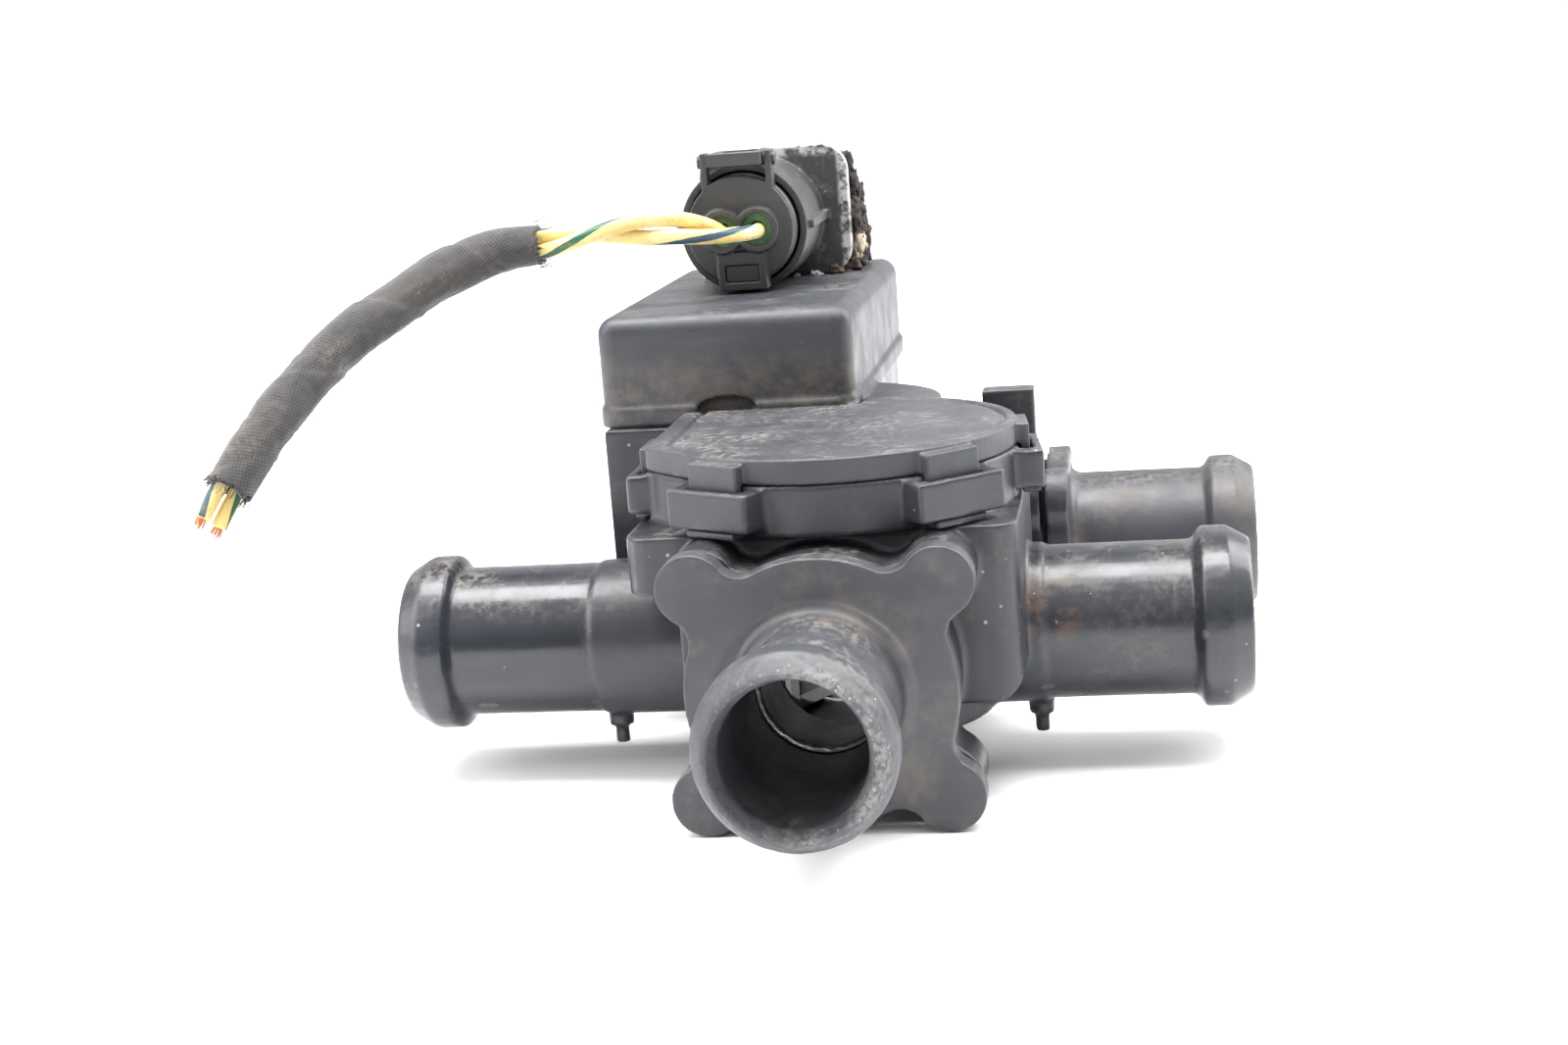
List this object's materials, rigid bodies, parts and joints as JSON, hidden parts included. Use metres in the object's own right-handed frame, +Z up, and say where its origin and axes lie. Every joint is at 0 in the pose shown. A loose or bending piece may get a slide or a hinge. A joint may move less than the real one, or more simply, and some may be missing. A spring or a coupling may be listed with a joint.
{
  "type": "motorised coolant changeover valve",
  "caption": "Motor-driven four-port rotary coolant valve with beaded hose stubs, clipped round lid, gear cover, and a two-wire plug on a short taped, cut loom.",
  "frame": {"origin": "where the rotor's axis crosses the axes of the front, left and right ports", "axes": "+X along the two right-hand ports, -Y out of the front port, +Z up the rotor's axis towards the round lid"},
  "size_m": [0.1363, 0.1358, 0.0748],
  "materials": {
    "housing_plastic": "glass-filled nylon, matte, dusty",
    "dark_plastic": "matte moulded",
    "black_rubber": "matte",
    "white_acetal": "smooth moulded",
    "gear_steel": "ground",
    "can_steel": "zinc plated",
    "magnet": "sintered ferrite",
    "copper": "enamelled and bare copper",
    "brass": "machined",
    "seal_green": "silicone",
    "wire_yellow_green": "thin-wall insulation with a green stripe",
    "wire_yellow_blue": "thin-wall insulation with a blue stripe",
    "cloth_tape": "woven cloth tape, dusty",
    "tube_plastic": "soft plastic tube"
  },
  "bodies": {
    "housing": {"valve_body": "housing_plastic", "front_port": "housing_plastic", "rear_port": "housing_plastic", "front_gasket": "black_rubber", "rear_gasket": "black_rubber", "chamber_cap": "white_acetal", "shaft_seal": "black_rubber", "rotor_foot_bush": "white_acetal", "second_gear_pin": "gear_steel", "first_gear_pin": "gear_steel", "motor_can": "can_steel", "motor_magnets": "magnet", "motor_end_cap": "dark_plastic", "motor_brushes": "copper", "motor_bushes": "brass", "motor_leads": "copper", "round_lid": "housing_plastic", "lid_gasket": "black_rubber", "gear_cover": "housing_plastic", "cover_gasket": "black_rubber", "connector_socket": "dark_plastic", "socket_pins": "brass", "plug_housing": "dark_plastic", "plug_seal_ring": "black_rubber", "wire_seals": "seal_green", "plug_terminals": "brass", "green_stripe_wire": "wire_yellow_green", "blue_stripe_wire": "wire_yellow_blue", "loom_tube": "tube_plastic", "loom_tape": "cloth_tape", "copper_ends": "copper"},
    "rotor": {"valve_rotor": "dark_plastic", "shutter_seal": "black_rubber", "output_gear": "white_acetal"},
    "second_gear_unit": {"second_gear": "white_acetal"},
    "first_gear_unit": {"first_gear": "white_acetal"},
    "motor_rotor": {"motor_shaft": "gear_steel", "motor_pinion": "brass", "armature_core": "can_steel", "armature_windings": "copper", "commutator": "copper"},
    "latch_lever": {"plug_latch": "dark_plastic"},
    "lock_slider": {"plug_lock": "dark_plastic"}
  },
  "joints": [
    {"name": "output_turn", "type": "hinge", "parent": "housing", "child": "rotor", "pos_m": [0, 0, 0], "axis": [0, 0, 1], "range_deg": [-25, 155]},
    {"name": "second_gear_turn", "type": "hinge", "parent": "housing", "child": "second_gear_unit", "pos_m": [-0.0058, 0.02164, 0.018], "axis": [0, 0, 1], "range_deg": [-571, 94]},
    {"name": "first_gear_turn", "type": "hinge", "parent": "housing", "child": "first_gear_unit", "pos_m": [-0.01674, 0.03741, 0.021], "axis": [0, 0, 1], "range_deg": [-277, 1707]},
    {"name": "motor_turn", "type": "hinge", "parent": "housing", "child": "motor_rotor", "pos_m": [-0.01674, 0.05661, 0.015], "axis": [0, 0, 1], "range_deg": [-5117, 827]},
    {"name": "latch_press", "type": "hinge", "parent": "housing", "child": "latch_lever", "pos_m": [-0.017, 0.0412, 0.0569], "axis": [1, 0, 0], "range_deg": [0, 8], "stiffness_Nm_per_rad": 0.02, "springref_deg": -2.86},
    {"name": "lock_slide", "type": "slide", "parent": "housing", "child": "lock_slider", "axis": [0, -1, 0], "range_m": [0, 0.0015]}
  ],
  "couplings": [
    {"joint": "second_gear_turn", "follows": "output_turn", "ratio": -3.6667},
    {"joint": "first_gear_turn", "follows": "output_turn", "ratio": 11},
    {"joint": "motor_turn", "follows": "output_turn", "ratio": -33}
  ]
}
